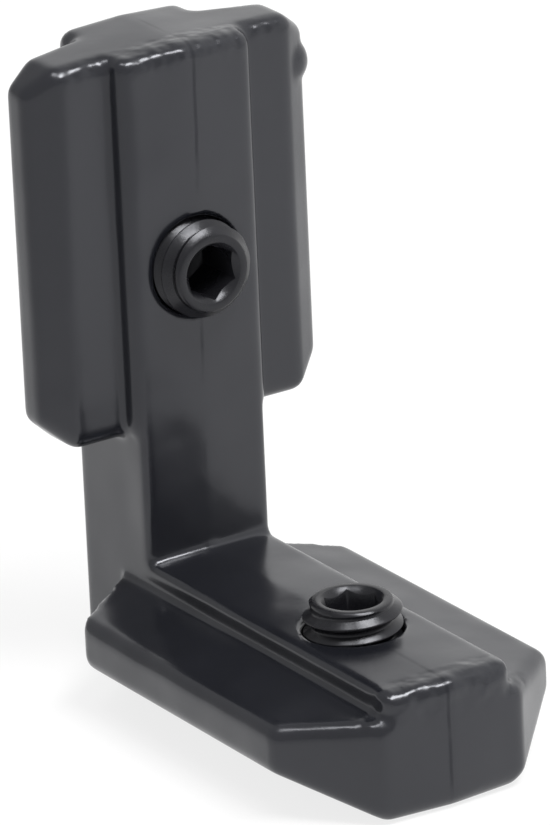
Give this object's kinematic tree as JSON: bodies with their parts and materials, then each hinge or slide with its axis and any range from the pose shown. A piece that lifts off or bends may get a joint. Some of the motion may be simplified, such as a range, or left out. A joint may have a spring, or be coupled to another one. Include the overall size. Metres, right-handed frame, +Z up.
{
  "type": "t slot corner bracket",
  "caption": "Cast inner corner bracket for T-slot profile: two winged arms at a right angle, each with a hex socket set screw that clamps it in the slot.",
  "frame": {"origin": "on the foot, in the middle plane of the casting and half way along its depth", "axes": "+Z up the long arm, -Y along the short arm, X across the bracket"},
  "size_m": [0.0165, 0.028, 0.033],
  "materials": {
    "black_paint": "gloss black coat on a zinc die casting",
    "black_oxide_steel": "black oxide on alloy steel"
  },
  "bodies": {
    "bracket": {"bracket_body": "black_paint"},
    "long_arm_screw": {"long_arm_set_screw": "black_oxide_steel"},
    "short_arm_screw": {"short_arm_set_screw": "black_oxide_steel"}
  },
  "joints": [
    {"name": "long_arm_screw_travel", "type": "slide", "parent": "bracket", "child": "long_arm_screw", "axis": [0, 1, 0], "range_m": [-0.001, 0.00145]},
    {"name": "short_arm_screw_travel", "type": "slide", "parent": "bracket", "child": "short_arm_screw", "axis": [0, 0, -1], "range_m": [-0.001, 0.00145]}
  ]
}
